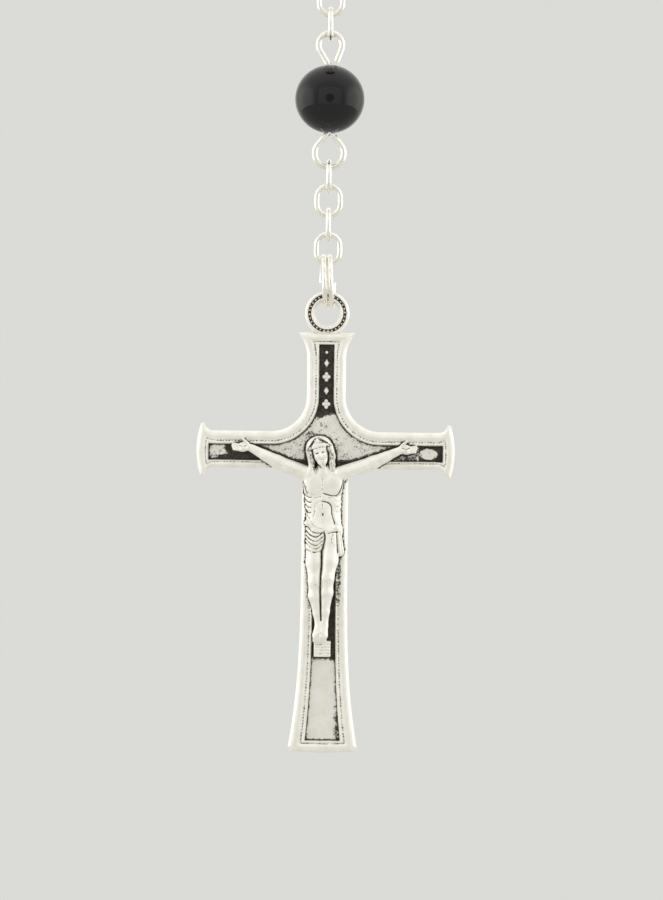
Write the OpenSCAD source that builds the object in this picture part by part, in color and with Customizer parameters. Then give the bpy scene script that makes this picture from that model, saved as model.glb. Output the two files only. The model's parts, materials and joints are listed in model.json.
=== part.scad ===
// Five-decade rosary: glass beads on wire eye pins, oval wire links, a centre medal and a crucifix.
// It hangs at full length over a round support that is not part of it. The front faces -Y.
// The origin is the middle of the topmost link, where the support carries the loop.

/* [Beads] */
// Diameter of every bead
bead_d = 8; // [7.6:0.1:8.2]
// Height of a bead along its hole, slightly less than its diameter
bead_h = 7.8; // [7.4:0.1:7.9]
// Radial clearance between a bead's hole and its wire
bore_gap = 0.07; // [0.03:0.01:0.1]

/* [Wire chain] */
// Wire of the eye pins
pin_wire = 0.7; // [0.6:0.05:0.75]
// Length of an eye pin over its two eyes
pin_length = 16.1; // [15.8:0.1:16.6]
// Outer width of a pin's upper eye
upper_eye_w = 3.4; // [3.2:0.1:3.8]
// Outer width of a pin's lower eye
lower_eye_w = 4; // [3.6:0.1:4.2]
// How far a bead sits above the middle of its pin, whose lower eye is the larger
bead_rise = 0.15; // [0:0.05:0.2]
// The straight part of an eye pin, drawn a little thinner than its eyes
stem_wire = 0.66; // [0.56:0.02:0.68]
// Wire of the chain links
link_wire = 0.6; // [0.5:0.05:0.65]
// Outer length of a link
link_length = 4; // [3.9:0.1:4.4]
// Outer width of a link
link_width = 3.3; // [3.2:0.1:3.6]
// Free play between two wires that hang in each other
wire_gap = 0.04; // [0.02:0.01:0.08]

/* [Split ring] */
// Outer diameter of the split ring
ring_d = 6.5; // [6.2:0.1:6.8]
// Wire of the split ring
ring_wire = 0.76; // [0.7:0.02:0.78]
// Distance between the ring's two turns, from wire centre to wire centre
ring_pitch = 0.72; // [0.66:0.02:0.74]

/* [Crucifix] */
// Thickness of the cross
cross_t = 2.5; // [2:0.1:3]
// Half the span of the cross arms, cap to cap
arm_span = 14.75; // [14:0.25:16]
// Height of the cross arms
arm_h = 4.4; // [4.2:0.1:4.8]
// Half the width of the shaft above the arms
upper_half_w = 2.14; // [2:0.02:2.3]
// Half the width of the shaft below the arms
lower_half_w = 2.65; // [2.5:0.05:2.9]
// Radius of the curves between the shaft and the arms
crook_r = 4; // [3.4:0.2:4.6]
// Distance of the lowest edge below the centre of the bail
cross_foot = 50.2; // [48:0.2:54]
// Width of the raised rim round the sunk panel
rim_w = 1.35; // [1.2:0.05:1.5]
// Depth of the sunk panel
panel_depth = 0.6; // [0.4:0.05:0.8]
// Outer radius of the bail
bail_r = 2.55; // [2.4:0.05:2.8]
// Radius of the hole in the bail at its middle
bail_hole_r = 1.4; // [1.35:0.01:1.5]
// Depth of the bail from front to back
bail_t = 1.6; // [1.2:0.1:1.8]

/* [Medal] */
// Width of the oval centre medal
medal_w = 14; // [12:0.5:15]
// Height of the oval centre medal
medal_h = 18; // [16:0.5:20]
// Thickness of the centre medal
medal_t = 1.8; // [1.4:0.1:2.4]
// Wire thickness of the medal's three loops
medal_wire = 0.8; // [0.7:0.05:0.85]

/* [Hidden] */
$fn = 48;
LINKS = 15;
PINS = 5;
function numbered(name, i) = str(name, "_", i < 10 ? "0" : "", i);
decade_nodes = [for (d = [1:5]) for (what = ["beads", "pins", "links"]) str("decade_", d, "_", what)];
father_nodes = [for (f = [2:5]) for (what = ["bead", "pin", "links"]) str("our_father_", f, "_", what)];
link_nodes = [for (i = [1:LINKS]) numbered("pendant_link", i)];
pin_nodes = [for (i = [1:PINS]) str("pendant_pin_", i)];
bead_nodes = [for (i = [1:PINS]) str("pendant_bead_", i)];

silver = [0.80, 0.78, 0.73];
old_silver = [0.70, 0.67, 0.60];
black_glass = [0.03, 0.03, 0.035];

// Half a wire and half the play: the distance of a wire's centre from the point where two pieces meet.
function reach(wire) = wire / 2 + wire_gap / 2;
link_pitch = link_length - 2 * link_wire - wire_gap;
pin_pitch = pin_length - 2 * pin_wire - wire_gap;

// Steps of chain: P is an eye pin with its bead, A the same between two decades, E a link seen
// on its edge and F a link seen flat. The strand runs from the topmost link down to the medal.
half_decade = "PEPEPEPEP";
decade = "PEPEPEPEPEPEPEPEPEP";
spacer = "EFE";
strand = str(half_decade, spacer, "A", spacer, decade, spacer, "A", spacer, decade, spacer);
pendant = str(spacer, "A", spacer, "PEPEP", spacer, "A", "EFEF");
function is_pin(kind) = kind == "P" || kind == "A";
function pitch(kind) = is_pin(kind) ? pin_pitch : link_pitch;
function length_from(plan, i) = i >= len(plan) ? 0 : pitch(plan[i]) + length_from(plan, i + 1);
function unit_down(heading) = [cos(heading), -sin(heading)];
function path(plan, start, headings) =
    [for (i = 0, p = start; i <= len(plan);
        p = i < len(plan) ? p + pitch(plan[i]) * unit_down(headings[i]) : p, i = i + 1) p];

// Over the support each step turns by the same angle. Below it a strand leans inwards under the
// weight that it carries, less steeply where more of the chain hangs from it.
support_turn = 15;
support_steps = 90 / support_turn;
side_pull = 1.07;
half_load = 8;
chain_load = 0.0546;
function lean(i) =
    atan(side_pull / (half_load + chain_load * (length_from(strand, i) - pitch(strand[i]) / 2)));
strand_headings = [for (i = [0:len(strand) - 1]) i < support_steps ? support_turn * (i + 1) : 90 + lean(i)];
strand_path = path(strand, [link_pitch / 2, 0], strand_headings);

// Runs of steps in a strand
upper_father = 12;
upper_decade = [16, 34];
lower_father = 38;
lower_decade = [42, 60];
medal_run = [61, 63];

// The medal hangs by two ears from the strand ends, and the pendant hangs from its lower loop.
ear_r = 1.25;
ear_top = strand_path[len(strand)] - reach(medal_wire) * unit_down(strand_headings[len(strand) - 1]);
ear = ear_top - [0, ear_r];
medal_drop = 6.75;
loop_sunk = 0.25;
medal_z = ear.y - medal_drop;
medal_loop_z = medal_z - medal_h / 2 - ear_r + loop_sunk;
pendant_start = [0, medal_loop_z - ear_r + reach(medal_wire)];
pendant_headings = [for (i = [0:len(pendant) - 1]) 90];
pendant_path = path(pendant, pendant_start, pendant_headings);
pendant_link_steps = [for (i = [0:len(pendant) - 1]) if (!is_pin(pendant[i])) i];
pendant_pin_steps = [for (i = [0:len(pendant) - 1]) if (is_pin(pendant[i])) i];

// The split ring lies in the lower curve of the last link, and the bail hangs on the ring.
link_r = (link_width - link_wire) / 2;
ring_r = (ring_d - ring_wire) / 2;
ring_play = 0.03;
seat_r = link_r - link_wire / 2 - ring_wire / 2 - ring_play;
seat_drop = sqrt(seat_r * seat_r - ring_pitch * ring_pitch / 4);
last_wire_z = pendant_path[len(pendant)].y - reach(link_wire);
ring_z = last_wire_z + link_r - seat_drop - ring_r;
bail_drop = 0.75;
bail_z = ring_z - ring_r - bail_drop;

// Cross outline, measured from the centre of the bail
shaft_top = -2.2;
top_half_w = 3.26;
top_flare_z = -5.2;
crook_z = -9.5;
arm_top = crook_z - crook_r;
arm_mid = arm_top - arm_h / 2;
arm_low = arm_top - arm_h;
cap_half_h = 3.06;
cap_w = 0.6;
cap_bulge = 0.5;
cap_flare = 1.1;
taper_z = -28;
foot_half_w = 3.94;
foot_lip = 0.7;
foot_bow = 0.2;
foot_taper = 3;
panel_foot_w = 1.97;
arc_steps = 8;
function along(a, b, t) = a + (b - a) * t;
function turned(angle) = [cos(angle), sin(angle)];
function arc(c, r, from, to) = [for (i = [0:arc_steps]) c + r * turned(along(from, to, i / arc_steps))];
function flip(points) = [for (i = [len(points) - 1:-1:0]) [-points[i].x, points[i].y]];
function taper(w0, w1, z0, z1) =
    [for (i = [0:arc_steps]) [along(w0, w1, pow(i / arc_steps, foot_taper)), along(z0, z1, i / arc_steps)]];

// The concave flare at the top of the shaft is an arc that ends upright.
flare_rise = shaft_top - top_flare_z;
flare_out = top_half_w - upper_half_w;
top_flare_r = (flare_out * flare_out + flare_rise * flare_rise) / (2 * flare_out);
top_flare_turn = asin(flare_rise / top_flare_r);
cap_x = arm_span - cap_bulge;
cap_r = (cap_half_h * cap_half_h + cap_bulge * cap_bulge) / (2 * cap_bulge);
cap_turn = asin(cap_half_h / cap_r);
cap_rise = cap_half_h - arm_h / 2;
cap_flare_turn = acos(1 - cap_rise / cap_flare);
cap_start = cap_x - cap_w / 2 - cap_flare * sin(cap_flare_turn);
cross_right = concat(
    arc([upper_half_w + top_flare_r, top_flare_z], top_flare_r, 180 - top_flare_turn, 180),
    arc([upper_half_w + crook_r, crook_z], crook_r, 180, 270),
    arc([cap_start, arm_top + cap_flare], cap_flare, 270, 270 + cap_flare_turn),
    arc([arm_span - cap_r, arm_mid], cap_r, cap_turn, -cap_turn),
    arc([cap_start, arm_low - cap_flare], cap_flare, 90 - cap_flare_turn, 90),
    taper(lower_half_w, foot_half_w, taper_z, foot_lip - cross_foot),
    [[foot_half_w - foot_lip / 2, foot_bow - cross_foot], [0, -cross_foot]]);
corner = [lower_half_w, arm_low];
corner_step = 5 * (arc_steps + 1);

// The sunk panel follows the outline at the width of the rim.
function panel_right(rim) = concat(
    [[upper_half_w - rim, shaft_top - rim]],
    arc([upper_half_w + crook_r, crook_z], crook_r + rim, 180, 270),
    [[arm_span - rim, arm_top - rim], [arm_span - rim, arm_low + rim], [lower_half_w - rim, arm_low + rim]],
    taper(lower_half_w - rim, panel_foot_w + rim_w - rim, taper_z, rim + foot_lip / 2 - cross_foot));
function with_corner(points) =
    [for (i = [0:len(points) - 1]) each (i == corner_step ? [corner, points[i]] : [points[i]])];

// Corpus: the body is built from rounded limbs, each a hull of two balls given as [x, y, z, radius].
crown = [-0.95, -2.3, -14.9, 1.05];
chin = [-0.45, -2.55, -16.9, 0.75];
neck = [-0.1, -2.0, -17.6, 0.7];
left_shoulder = [-1.9, -1.9, -18.5, 0.85];
right_shoulder = [1.6, -1.9, -18.4, 0.85];
left_elbow = [-5.6, -1.75, -16.9, 0.65];
right_elbow = [5.4, -1.75, -16.9, 0.65];
left_wrist = [-8.2, -1.7, -15.7, 0.5];
right_wrist = [8.0, -1.7, -15.8, 0.5];
left_hand = [-9.7, -1.65, -15.3, 0.6];
right_hand = [9.3, -1.65, -15.4, 0.6];
left_chest = [-1.1, -1.9, -19.9, 1.15];
right_chest = [0.9, -1.9, -19.9, 1.15];
belly = [-0.1, -1.9, -22.6, 1.35];
left_hip = [-0.9, -1.95, -24.6, 1.15];
right_hip = [0.9, -1.95, -24.4, 1.15];
cloth_end = [1.75, -1.9, -27.2, 0.4];
left_knee = [-1.05, -2.35, -30.5, 0.75];
right_knee = [0.2, -2.55, -29.8, 0.8];
left_ankle = [-0.2, -1.6, -35.2, 0.5];
right_ankle = [0.25, -1.7, -35, 0.5];
toes = [0, -2.1, -37.1, 0.7];
foot_rest = [2, 1.2, 1.9];
foot_rest_z = -39.2;
relief = 8;
limbs = [[crown, chin], [chin, neck], [left_shoulder, right_shoulder], [left_shoulder, left_elbow],
    [right_shoulder, right_elbow], [left_elbow, left_wrist], [right_elbow, right_wrist],
    [left_wrist, left_hand], [right_wrist, right_hand], [left_chest, right_chest], [left_shoulder, left_chest],
    [right_shoulder, right_chest], [left_chest, belly], [right_chest, belly], [belly, left_hip],
    [belly, right_hip], [left_hip, right_hip], [right_hip, cloth_end], [left_hip, left_knee],
    [right_hip, right_knee], [left_knee, left_ankle], [right_knee, right_ankle], [left_ankle, toes],
    [right_ankle, toes]];

// Turns a drawing in XY to face the front: its Y becomes Z.
module face_front() {
    rotate([90, 0, 0]) children();
}

// Puts children, drawn pointing down at their middle, on step i of a path.
module on_step(points, headings, i) {
    middle = (points[i] + points[i + 1]) / 2;
    translate([middle.x, 0, middle.y]) rotate([0, headings[i] - 90, 0]) children();
}

module on_side(side) {
    if (side < 0) mirror([1, 0, 0]) children();
    else children();
}

module rod(a, b, wire) {
    translate([a.x, a.y, 0]) rotate([0, 0, atan2(b.y - a.y, b.x - a.x)]) rotate([0, 90, 0])
        cylinder(d = wire, h = norm(b - a));
}

module bent_rod(r, wire, from, sweep) {
    rotate([0, 0, from]) rotate_extrude(angle = sweep) translate([r, 0]) circle(d = wire);
}

module ring(r, wire) {
    rotate_extrude() translate([r, 0]) circle(d = wire);
}

module bead() {
    translate([0, 0, bead_rise]) difference() {
        intersection() {
            sphere(d = bead_d);
            cylinder(d = bead_d + 1, h = bead_h, center = true);
        }
        cylinder(r = stem_wire / 2 + bore_gap, h = bead_d, center = true);
    }
}

module link(kind) {
    straight = (link_length - link_width) / 2;
    rotate([0, 0, kind == "E" ? 90 : 0]) face_front() {
        translate([0, straight]) bent_rod(link_r, link_wire, 0, 180);
        translate([0, -straight]) bent_rod(link_r, link_wire, 180, 180);
        for (x = [-link_r, link_r]) rod([x, -straight], [x, straight], link_wire);
    }
}

// An eye is a ring that closes on the stem, and the stem runs through the bead.
module eye(width) {
    translate([0, (pin_length - width) / 2]) ring((width - pin_wire) / 2, pin_wire);
}

module eye_pin() {
    face_front() {
        rod([0, lower_eye_w - pin_length / 2 - pin_wire / 2], [0, pin_length / 2 - upper_eye_w + pin_wire / 2],
            stem_wire);
        eye(upper_eye_w);
        mirror([0, 1, 0]) eye(lower_eye_w);
    }
}

module strand_beads(run, side) {
    color(black_glass) on_side(side)
        for (i = [run[0]:run[1]]) if (is_pin(strand[i])) on_step(strand_path, strand_headings, i) bead();
}

module strand_pins(run, side) {
    color(silver) on_side(side)
        for (i = [run[0]:run[1]]) if (is_pin(strand[i])) on_step(strand_path, strand_headings, i) eye_pin();
}

module strand_links(run, side) {
    color(silver) on_side(side)
        for (i = [run[0]:run[1]])
            if (!is_pin(strand[i])) on_step(strand_path, strand_headings, i) link(strand[i]);
}

module top_link() {
    color(silver) rotate([0, 90, 0]) link("E");
}

module pendant_link(i) {
    step = pendant_link_steps[i - 1];
    color(silver) on_step(pendant_path, pendant_headings, step) link(pendant[step]);
}

module pendant_pin(i) {
    color(silver) on_step(pendant_path, pendant_headings, pendant_pin_steps[i - 1]) eye_pin();
}

module pendant_bead(i) {
    color(black_glass) on_step(pendant_path, pendant_headings, pendant_pin_steps[i - 1]) bead();
}

module split_ring() {
    color(silver) translate([0, 0, ring_z]) rotate([0, 90, 0])
        for (side = [-1, 1]) translate([0, 0, side * ring_pitch / 2]) ring(ring_r, ring_wire);
}

module bail() {
    flare = 0.15;
    edge = 0.2;
    face_front() rotate_extrude() polygon([[bail_hole_r, 0], [bail_hole_r + flare, bail_t / 2],
        [bail_r - edge, bail_t / 2], [bail_r, bail_t / 2 - edge], [bail_r, edge - bail_t / 2],
        [bail_r - edge, -bail_t / 2], [bail_hole_r + flare, -bail_t / 2]]);
}

module front_cut(points, depth) {
    translate([0, depth - cross_t / 2, 0]) face_front() linear_extrude(height = depth + 1) polygon(points);
}

module crucifix() {
    inner = panel_right(rim_w);
    outer = panel_right(rim_w / 2);
    color(old_silver) translate([0, 0, bail_z]) {
        bail();
        difference() {
            translate([0, cross_t / 2, 0]) face_front() linear_extrude(height = cross_t)
                polygon(concat(with_corner(cross_right), flip(with_corner(cross_right))));
            front_cut(concat(outer, flip(outer)), panel_depth / 3);
            front_cut(concat(inner, flip(inner)), panel_depth);
            face_front() cylinder(r = bail_r - 0.5, h = cross_t + 1, center = true);
        }
    }
}

module limb(a, b) {
    hull() for (ball = [a, b]) translate([ball[0], ball[1], ball[2]]) sphere(r = ball[3], $fn = 16);
}

module corpus() {
    color(old_silver) translate([0, 0, bail_z]) {
        intersection() {
            for (pair = limbs) limb(pair[0], pair[1]);
            translate([-arm_span, -cross_t / 2 - relief, -cross_foot]) cube([2 * arm_span, relief, cross_foot]);
        }
        translate([-foot_rest.x / 2, -cross_t / 2 - foot_rest.y, foot_rest_z])
            cube([foot_rest.x, foot_rest.y, foot_rest.z]);
    }
}

module centre_medal() {
    rim = 1;
    depth = 0.4;
    sides = 72;
    oval = [for (i = [0:sides - 1]) [medal_w / 2 * cos(360 * i / sides), medal_h / 2 * sin(360 * i / sides)]];
    field = [for (p = oval) [p.x * (1 - 2 * rim / medal_w), p.y * (1 - 2 * rim / medal_h)]];
    color(old_silver) {
        translate([0, 0, medal_z]) difference() {
            translate([0, medal_t / 2, 0]) face_front() linear_extrude(height = medal_t) polygon(oval);
            for (y = [-medal_t / 2 - 1, medal_t / 2 - depth]) translate([0, y + depth + 1, 0])
                face_front() linear_extrude(height = depth + 1) polygon(field);
        }
        for (x = [-ear.x, ear.x]) translate([x, 0, ear.y]) face_front() ring(ear_r, medal_wire);
        translate([0, 0, medal_loop_z]) face_front() ring(ear_r, medal_wire);
    }
}

crucifix();
corpus();
split_ring();
centre_medal();
for (i = [1:LINKS]) pendant_link(i);
for (i = [1:PINS]) pendant_pin(i);
for (i = [1:PINS]) pendant_bead(i);
strand_links(medal_run, -1);  // left_medal_links
strand_links(medal_run, 1);  // right_medal_links

// The third decade lies over the support, and the others hang below it on the left and on the right.
top_run = [0, len(half_decade) - 1];
for (side = [-1, 1]) strand_beads(top_run, side);  // decade_3_beads
for (side = [-1, 1]) strand_pins(top_run, side);  // decade_3_pins
top_link();  // decade_3_links
for (side = [-1, 1]) strand_links(top_run, side);  // decade_3_links
for (part = [[1, lower_decade, -1], [2, upper_decade, -1], [4, upper_decade, 1], [5, lower_decade, 1]]) {
    name = str("decade_", part[0]);
    strand_beads(part[1], part[2]);
    strand_pins(part[1], part[2]);
    strand_links(part[1], part[2]);
}
for (part = [[2, lower_father, -1], [3, upper_father, -1], [4, upper_father, 1], [5, lower_father, 1]]) {
    name = str("our_father_", part[0]);
    run = [part[1] - len(spacer), part[1] + len(spacer)];
    strand_beads(run, part[2]);
    strand_pins(run, part[2]);
    strand_links(run, part[2]);
}
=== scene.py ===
import json
import math
import bmesh
import bpy
import numpy as np
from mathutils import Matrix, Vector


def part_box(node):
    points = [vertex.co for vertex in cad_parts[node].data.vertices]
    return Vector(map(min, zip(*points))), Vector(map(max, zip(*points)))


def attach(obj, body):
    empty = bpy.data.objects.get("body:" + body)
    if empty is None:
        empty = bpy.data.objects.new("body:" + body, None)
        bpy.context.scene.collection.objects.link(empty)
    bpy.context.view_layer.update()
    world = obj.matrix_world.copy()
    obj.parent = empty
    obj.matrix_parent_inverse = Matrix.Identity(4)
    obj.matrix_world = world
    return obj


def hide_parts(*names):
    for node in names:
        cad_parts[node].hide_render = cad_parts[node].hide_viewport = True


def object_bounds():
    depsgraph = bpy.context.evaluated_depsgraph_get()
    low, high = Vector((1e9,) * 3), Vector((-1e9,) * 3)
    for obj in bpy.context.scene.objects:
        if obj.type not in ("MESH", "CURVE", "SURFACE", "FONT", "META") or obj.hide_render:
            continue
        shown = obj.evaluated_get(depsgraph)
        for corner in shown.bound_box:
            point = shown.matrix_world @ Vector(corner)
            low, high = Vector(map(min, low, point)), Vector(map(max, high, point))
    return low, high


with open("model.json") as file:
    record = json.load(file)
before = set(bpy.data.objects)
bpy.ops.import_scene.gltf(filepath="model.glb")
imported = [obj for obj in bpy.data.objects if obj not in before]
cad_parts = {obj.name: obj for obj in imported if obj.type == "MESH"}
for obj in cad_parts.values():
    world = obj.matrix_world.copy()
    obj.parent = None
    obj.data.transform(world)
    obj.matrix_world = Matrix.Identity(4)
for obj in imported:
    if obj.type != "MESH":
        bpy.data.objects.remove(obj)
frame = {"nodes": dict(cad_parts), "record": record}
import openvdb
from mathutils import Matrix, Vector

cadBox = [list(corner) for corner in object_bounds()]  # the model's box before any piece is added
mm = 0.001
nodes = frame["nodes"]
bodyOf = {node: body for body, members in frame["record"]["behaviour"]["bodies"].items() for node in members}


def pick(*pieces):
    if bpy.context.object and bpy.context.object.mode != "OBJECT":
        bpy.ops.object.mode_set(mode="OBJECT")
    bpy.ops.object.select_all(action="DESELECT")
    for piece in pieces:
        piece.select_set(True)
    bpy.context.view_layer.objects.active = pieces[0] if pieces else None


def startEditing(piece):
    pick(piece)
    bpy.ops.object.mode_set(mode="EDIT")
    bpy.ops.mesh.select_mode(type="VERT")
    bpy.ops.mesh.select_all(action="DESELECT")


def selectWhere(piece, test):
    # selects the vertices that pass the test, and the edges and faces between them
    mesh = bmesh.from_edit_mesh(piece.data)
    for vert in mesh.verts:
        vert.select_set(bool(test(vert.co)))
    mesh.select_flush_mode()
    bmesh.update_edit_mesh(piece.data)


def settle(piece, name, angle=60, merge=True):
    # a finished shape is in metres, closed, faces outwards, and has its place in its mesh
    pick(piece)
    piece.scale = [value * mm for value in piece.scale]
    piece.location = piece.location * mm
    bpy.ops.object.transform_apply(location=True, rotation=True, scale=True)
    if merge:
        startEditing(piece)
        bpy.ops.mesh.select_all(action="SELECT")
        bpy.ops.mesh.remove_doubles(threshold=0.001 * mm)
        bpy.ops.mesh.normals_make_consistent(inside=False)
        bpy.ops.object.mode_set(mode="OBJECT")
    bpy.ops.object.shade_smooth_by_angle(angle=math.radians(angle))
    piece.name = name
    piece.data.name = name
    return piece


def joined(pieces):
    pick(*pieces)
    if len(pieces) > 1:
        bpy.ops.object.join()
    return pieces[0]


def modify(piece, kind, **settings):
    pick(piece)
    modifier = piece.modifiers.new(kind.title(), kind)
    for key, value in settings.items():
        setattr(modifier, key, value)
    bpy.ops.object.modifier_apply(modifier=modifier.name)


def added(primitive, **settings):
    # a primitive, with nothing else selected
    bpy.ops.object.select_all(action="DESELECT")
    primitive(**settings)
    return bpy.context.object


def fixed(piece, **parts):
    # the piece's turn and size, and its place if it is asked for, go into its mesh
    pick(piece)
    bpy.ops.object.transform_apply(**{"location": True, "rotation": True, "scale": True, **parts})
    return piece


def copied(master, place):
    # a copy with its own mesh, moved to its place inside the mesh
    piece = master.copy()
    piece.data = master.data.copy()
    bpy.context.scene.collection.objects.link(piece)
    piece.data.transform(place)
    return piece


def drawn(rows, caps="ends"):
    # a circle takes the first row's shape and is extruded from row to row
    count = len(rows[0])
    piece = added(bpy.ops.mesh.primitive_circle_add, vertices=count)
    bpy.ops.object.mode_set(mode="EDIT")
    bpy.ops.mesh.select_mode(type="VERT")
    mesh = bmesh.from_edit_mesh(piece.data)
    order = mesh.verts.layers.int.new("order")
    line = mesh.verts.layers.int.new("line")
    mesh.verts.ensure_lookup_table()
    for i in range(count):
        mesh.verts[i][order] = i
        mesh.verts[i].co = rows[0][i]
    bpy.ops.mesh.select_all(action="SELECT")
    for k, row in enumerate(rows[1:]):
        bpy.ops.mesh.extrude_region()
        mesh = bmesh.from_edit_mesh(piece.data)
        order = mesh.verts.layers.int["order"]
        line = mesh.verts.layers.int["line"]
        for vert in mesh.verts:
            if vert.select:
                vert.co = row[vert[order]]
                vert[line] = k + 1
    bmesh.update_edit_mesh(piece.data)
    if caps == "ends":
        bpy.ops.mesh.fill()
        bpy.ops.mesh.select_all(action="DESELECT")
        mesh = bmesh.from_edit_mesh(piece.data)
        line = mesh.verts.layers.int["line"]
        for vert in mesh.verts:
            vert.select_set(vert[line] == 0)
        mesh.select_flush_mode()
        bpy.ops.mesh.fill()
    bpy.ops.object.mode_set(mode="OBJECT")
    return piece


def drawnAs(piece, layer):
    # each vertex's row ("line") or its place in the row ("order")
    numbers = np.empty(len(piece.data.vertices), int)
    piece.data.attributes[layer].data.foreach_get("value", numbers)
    return numbers


def unit(vectors):
    return vectors / np.linalg.norm(vectors, axis=-1, keepdims=True)


def wireRows(path, radius, sides):
    # the rings of a round wire along a path, each turned from the last by the shortest way
    path = np.array(path, float)
    ways = unit(np.gradient(path, axis=0))
    across = np.cross(ways[0], (0.3, 1, 0.2))
    rows = []
    for point, way in zip(path, ways):
        across = unit(across - way * np.dot(across, way))
        other = np.cross(way, across)
        turns = np.arange(sides) * math.tau / sides
        rows.append(point + radius * (np.cos(turns)[:, None] * across + np.sin(turns)[:, None] * other))
    return rows


def arcPoints(centre, radius, start, end, step=8):
    angles = np.radians(np.linspace(start, end, max(2, int(abs(end - start) / step) + 1)))
    return np.stack([centre[0] + radius * np.cos(angles), centre[1] + radius * np.sin(angles)], axis=1)


def riseTo(low, high, value):
    t = np.clip((value - low) / (high - low), 0, 1)
    return t * t * (3 - 2 * t)


class Signal:
    # a socket in plain arithmetic: an expression on signals adds its Math nodes
    def __init__(self, socket):
        self.socket = socket
        self.tree = socket.id_data

    def maths(self, operation, first, *others):
        node = self.tree.nodes.new("ShaderNodeMath")
        node.operation = operation
        for slot, value in zip(node.inputs, (first, *others)):
            feed(slot, value)
        return Signal(node.outputs[0])

    def __add__(self, other):
        return self.maths("ADD", self, other)

    def __radd__(self, other):
        return self.maths("ADD", other, self)

    def __sub__(self, other):
        return self.maths("SUBTRACT", self, other)

    def __rsub__(self, other):
        return self.maths("SUBTRACT", other, self)

    def __mul__(self, other):
        return self.maths("MULTIPLY", self, other)

    def __rmul__(self, other):
        return self.maths("MULTIPLY", other, self)

    def __truediv__(self, other):
        return self.maths("DIVIDE", self, other)

    def size(self):
        return self.maths("ABSOLUTE", self)

    def most(self, other):
        return self.maths("MAXIMUM", self, other)

    def least(self, other):
        return self.maths("MINIMUM", self, other)

    def rise(self, low, high):
        # 0 below low and 1 above high, with a soft step between
        t = ((self - low) / (high - low)).most(0.0).least(1.0)
        return t * t * (3.0 - 2.0 * t)


def feed(slot, value):
    if isinstance(value, Signal):
        slot.id_data.links.new(value.socket, slot)
    else:
        slot.default_value = value


class Finish:
    # a node tree and its one way of adding a node: type, settings, then the values or links of its sockets
    def __init__(self, tree):
        self.tree = tree

    def node(self, kind, settings=None, out=0, **inputs):
        made = self.tree.nodes.new(kind)
        for key, value in (settings or {}).items():
            setattr(made, key, value)
        for key, value in inputs.items():
            spot = int(key[1:]) if key[0] == "_" else key.replace("_", " ")
            feed(made.inputs[spot], value)
        return Signal(made.outputs[out])

    def noise(self, place, perMm, detail=3.0, roughness=0.55):
        return self.node("ShaderNodeTexNoise", Vector=place, Scale=perMm / mm, Detail=detail,
                         Roughness=roughness)

    def mixed(self, factor, low, high):
        return self.node("ShaderNodeMix", {"data_type": "RGBA"}, out=2, _0=factor, _6=low, _7=high)


def newMaterial(name):
    material = bpy.data.materials.new(name)
    material.use_nodes = True
    finish = Finish(material.node_tree)
    shader = material.node_tree.nodes["Principled BSDF"]
    place = finish.node("ShaderNodeTexCoord", out="Object")
    return material, finish, shader, place


def onShader(shader, **values):
    for key, value in values.items():
        feed(shader.inputs[key.replace("_", " ")], value)


wireLook = {"silver": (0.94, 0.92, 0.86, 1), "shade": (0.80, 0.77, 0.68, 1), "roughness": 0.2}


def brightSilver():
    material, finish, shader, place = newMaterial("brightSilver")
    cloud = finish.noise(place, 0.9, 4.0)
    fine = finish.noise(place, 7.0, 3.0)
    tarnish = (cloud * 0.7 + fine * 0.3).rise(0.44, 0.72)
    onShader(shader, Metallic=1.0,
             Base_Color=finish.mixed(tarnish, wireLook["silver"], wireLook["shade"]),
             Roughness=wireLook["roughness"] + 0.14 * cloud,
             Normal=finish.node("ShaderNodeBump", Height=fine, Distance=0.02 * mm, Strength=0.5))
    return material


# the oxide and rust colours also paint the painted shade on the panel floor and the rim
castLook = {"silver": (0.95, 0.935, 0.88, 1), "warm": (0.87, 0.85, 0.77, 1), "oxide": (0.017, 0.014, 0.010, 1),
            "rust": (0.085, 0.07, 0.052, 1), "roughness": 0.38, "metallic": 0.5}


def antiqueSilver():
    material, finish, shader, place = newMaterial("antiqueSilver")
    # the vertex attribute holds dark oxide in the hollows and also painted shade: the figure's shadow on the
    # panel and rim, and shade above the arms and head
    oxideAndShade = finish.node("ShaderNodeAttribute", {"attribute_name": "oxideAndShade"}, out="Fac")
    cloud = finish.noise(place, 0.8, 3.0)
    grain = finish.noise(place, 5.5, 4.0, 0.65)
    patch = finish.noise(place, 2.2, 3.0)
    speckle = (grain - 0.5) * 1.3 * oxideAndShade.rise(0.02, 0.3) + (patch - 0.5) * 0.7 * oxideAndShade.rise(0.1, 0.4)
    dark = (oxideAndShade + speckle).rise(0.36, 0.68)
    tone = finish.mixed(cloud.rise(0.35, 0.7), castLook["silver"], castLook["warm"])
    # the dark colour paints real oxide, and painted shadow on the panel and rim
    darkOxideAndShade = finish.mixed((grain * 0.6 + patch * 0.4).rise(0.42, 0.66), castLook["oxide"], castLook["rust"])
    height = grain * (0.35 + 0.65 * oxideAndShade.rise(0.02, 0.4)) + finish.noise(place, 1.6, 2.0) * 0.8
    onShader(shader, Metallic=castLook["metallic"] - 0.3 * dark,
             Base_Color=finish.mixed(dark, tone, darkOxideAndShade),
             Roughness=castLook["roughness"] + 0.1 * cloud + 0.2 * dark,
             Normal=finish.node("ShaderNodeBump", Height=height, Distance=0.045 * mm, Strength=0.6))
    return material


glassLook = {"black": (0.006, 0.006, 0.007, 1), "haze": (0.012, 0.012, 0.014, 1), "roughness": 0.05,
             "specular": 0.28}


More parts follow.
